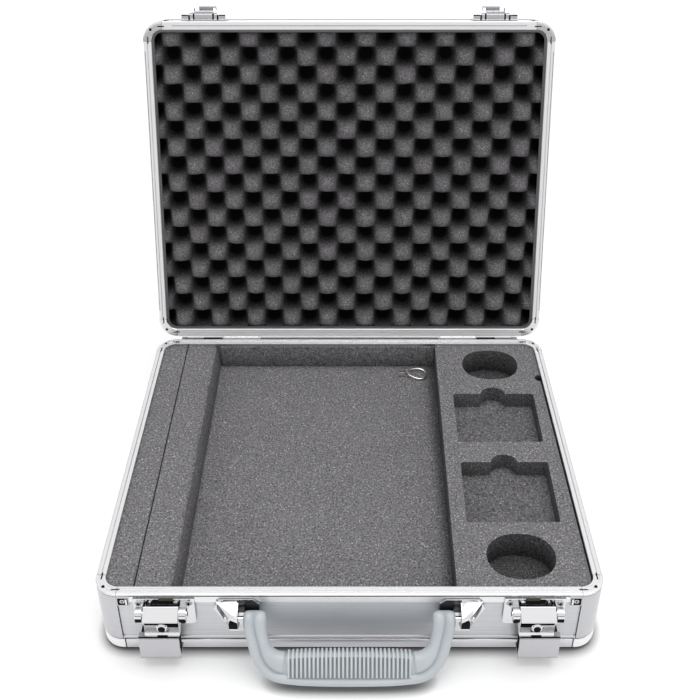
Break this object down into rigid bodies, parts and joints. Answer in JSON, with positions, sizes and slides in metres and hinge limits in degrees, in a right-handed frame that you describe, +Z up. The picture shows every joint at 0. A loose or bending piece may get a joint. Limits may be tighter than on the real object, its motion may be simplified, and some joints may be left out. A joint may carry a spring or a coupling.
{
  "type": "aluminium carrying case",
  "caption": "Open framed aluminium carrying case with rounded corners, fitted foam with cups and pockets, egg-crate lid foam, key latches and a drop handle.",
  "frame": {"origin": "centre of the base's underside, on the table", "axes": "+X to the right of someone facing the latches, +Y from the latches to the hinges, +Z up"},
  "size_m": [0.38, 0.4656, 0.3729],
  "materials": {
    "panel": "finely brushed",
    "rail": "satin",
    "corner": "polished",
    "chrome": "bright",
    "latch": "plated, finely brushed",
    "handle": "satin",
    "grip": "ribbed",
    "foam": "open-cell foam",
    "key": "nickel plated"
  },
  "bodies": {
    "base": {"base_corner_back_left": "corner", "base_corner_back_right": "corner", "base_corner_front_left": "corner", "base_corner_front_right": "corner", "base_panel": "panel", "base_rim_back": "rail", "base_rim_front": "rail", "base_rim_left": "rail", "base_rim_right": "rail", "base_wall_back": "panel", "base_wall_front": "panel", "base_wall_left": "panel", "base_wall_right": "panel", "foam_block_right": "foam", "foam_floor": "foam", "foam_liner_back": "foam", "foam_strip_left": "foam", "foam_strip_second": "foam", "handle_bracket_left": "chrome", "handle_bracket_right": "chrome", "handle_pin_left": "chrome", "handle_pin_right": "chrome", "hinge_base_leaf_left": "chrome", "hinge_base_leaf_right": "chrome", "hinge_pin_left": "chrome", "hinge_pin_right": "chrome", "latch_pin_left": "chrome", "latch_pin_right": "chrome", "latch_plate_left": "chrome", "latch_plate_right": "chrome"},
    "lid": {"foam_lid": "foam", "hinge_lid_leaf_left": "chrome", "hinge_lid_leaf_right": "chrome", "lid_catch_left": "chrome", "lid_catch_right": "chrome", "lid_corner_back_left": "corner", "lid_corner_back_right": "corner", "lid_corner_front_left": "corner", "lid_corner_front_right": "corner", "lid_panel": "panel", "lid_rim_back": "rail", "lid_rim_front": "rail", "lid_rim_left": "rail", "lid_rim_right": "rail", "lid_wall_back": "panel", "lid_wall_front": "panel", "lid_wall_left": "panel", "lid_wall_right": "panel"},
    "handle": {"handle_body": "handle", "handle_grip": "grip"},
    "latch_lever_left": {"latch_lever_left": "latch"},
    "latch_lever_right": {"latch_lever_right": "latch"},
    "latch_hook_left": {"latch_hook_left": "latch"},
    "latch_hook_right": {"latch_hook_right": "latch"},
    "lock_plug_left": {"lock_plug_left": "chrome"},
    "lock_plug_right": {"lock_plug_right": "chrome"},
    "keys": {"key_1": "key", "key_2": "key", "key_ring": "key"}
  },
  "joints": [
    {"name": "lid_hinge", "type": "hinge", "parent": "base", "child": "lid", "pos_m": [0, 0.156, 0.0643], "axis": [-1, 0, 0], "range_deg": [-105.2, 0]},
    {"name": "handle_swing", "type": "hinge", "parent": "base", "child": "handle", "pos_m": [0, -0.1627, 0.0475], "axis": [-1, 0, 0], "range_deg": [0, 115]},
    {"name": "lever_swing_left", "type": "hinge", "parent": "base", "child": "latch_lever_left", "pos_m": [-0.1385, -0.1621, 0.0524], "axis": [-1, 0, 0], "range_deg": [0, 110]},
    {"name": "hook_swing_left", "type": "hinge", "parent": "lid", "child": "latch_hook_left", "pos_m": [-0.134, 0.24848, 0.36922], "axis": [1, 0, 0], "range_deg": [0, 162.53]},
    {"name": "lock_turn_left", "type": "hinge", "parent": "latch_lever_left", "child": "lock_plug_left", "pos_m": [-0.1385, -0.1651, 0.0407], "axis": [0, -1, 0], "range_deg": [0, 90]},
    {"name": "lever_swing_right", "type": "hinge", "parent": "base", "child": "latch_lever_right", "pos_m": [0.1385, -0.1621, 0.0524], "axis": [-1, 0, 0], "range_deg": [0, 110]},
    {"name": "hook_swing_right", "type": "hinge", "parent": "lid", "child": "latch_hook_right", "pos_m": [0.134, 0.24848, 0.36922], "axis": [1, 0, 0], "range_deg": [0, 162.53]},
    {"name": "lock_turn_right", "type": "hinge", "parent": "latch_lever_right", "child": "lock_plug_right", "pos_m": [0.1385, -0.1651, 0.0407], "axis": [0, -1, 0], "range_deg": [0, 90]},
    {"name": "keys_lift", "type": "slide", "parent": "base", "child": "keys", "axis": [0, 0, 1], "range_m": [0, 0.1]}
  ]
}
